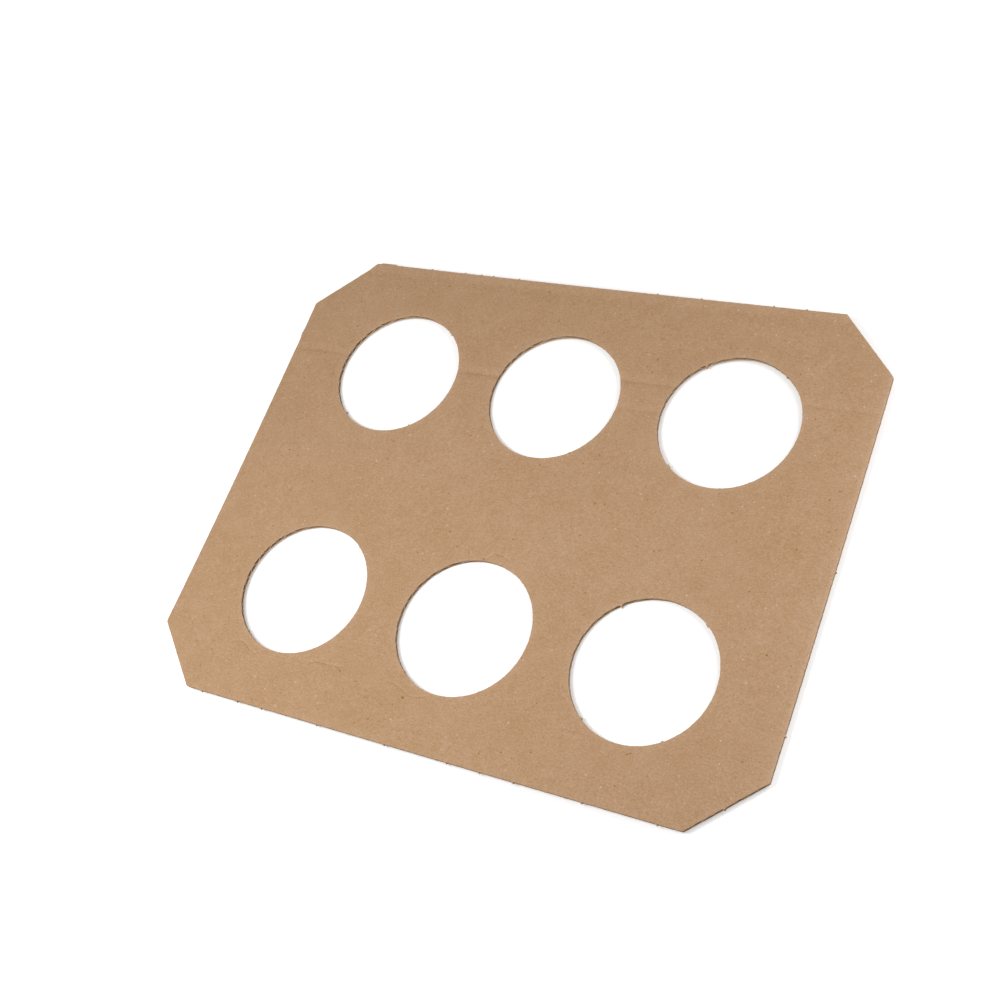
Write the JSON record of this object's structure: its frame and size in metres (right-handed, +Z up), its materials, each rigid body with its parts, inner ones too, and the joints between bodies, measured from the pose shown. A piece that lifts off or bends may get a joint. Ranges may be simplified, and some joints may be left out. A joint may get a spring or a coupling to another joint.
{
  "type": "cup carrier",
  "caption": "Flat corrugated cardboard cup carrier with rows of round cup holes and cut-off corners.",
  "frame": {"origin": "middle of the underside, where the sheet lies on a surface", "axes": "+X along the long side and the flutes, +Y towards the edge nearest the fold line, +Z up out of the upper liner"},
  "size_m": [0.3556, 0.2784, 0.0028],
  "materials": {
    "kraft_board": "matte brown recycled kraft with fine fibres"
  },
  "bodies": {
    "root": {"carrier_board": "kraft_board"}
  },
  "joints": []
}
